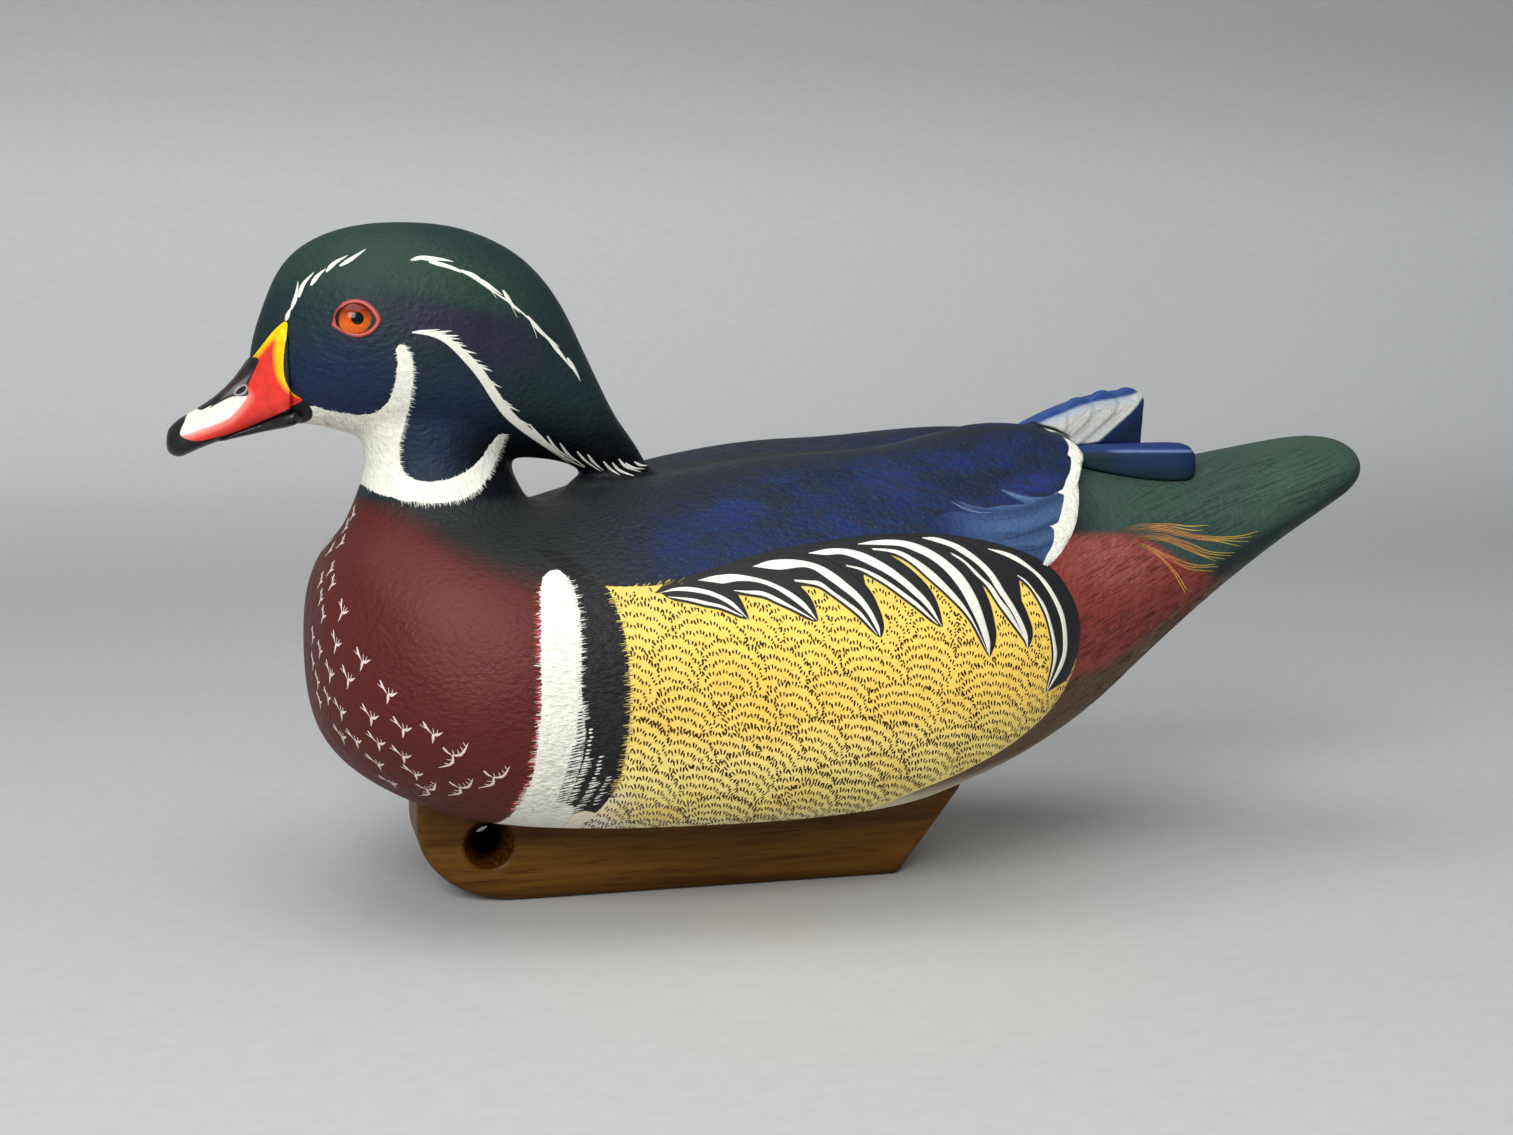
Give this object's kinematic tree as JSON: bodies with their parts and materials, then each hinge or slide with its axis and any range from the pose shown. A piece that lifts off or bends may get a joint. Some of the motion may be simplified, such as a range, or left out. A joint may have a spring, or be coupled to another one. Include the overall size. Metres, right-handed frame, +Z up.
{
  "type": "wood duck decoy",
  "caption": "Carved and painted wood duck drake decoy with glass eyes, a long swept-back crest and crossed wing tips, on a varnished wooden keel with a cord hole.",
  "frame": {"origin": "on the underside of the keel, on the decoy's centre line and about midway between bill and tail tip", "axes": "-X towards the bill, -Y towards the drake's left side, +Z up"},
  "size_m": [0.358, 0.1552, 0.1918],
  "materials": {
    "painted_wood": "artist's paint on carved wood, satin, with a fine stippled texture",
    "bill_paint": "glossy red, yellow, white and black paint on carved wood",
    "varnished_wood": "amber varnish over straight-grained wood",
    "eye_glass": "clear polished glass over a painted orange iris and a black pupil"
  },
  "bodies": {
    "root": {"torso": "painted_wood", "tail": "painted_wood", "wing_left": "painted_wood", "wing_right": "painted_wood", "flank_left": "painted_wood", "flank_right": "painted_wood", "primaries_left": "painted_wood", "primaries_right": "painted_wood", "neck": "painted_wood", "head": "painted_wood", "bill_upper": "bill_paint", "bill_lower": "bill_paint", "keel": "varnished_wood", "eye_left": "eye_glass", "eye_right": "eye_glass"}
  },
  "joints": []
}
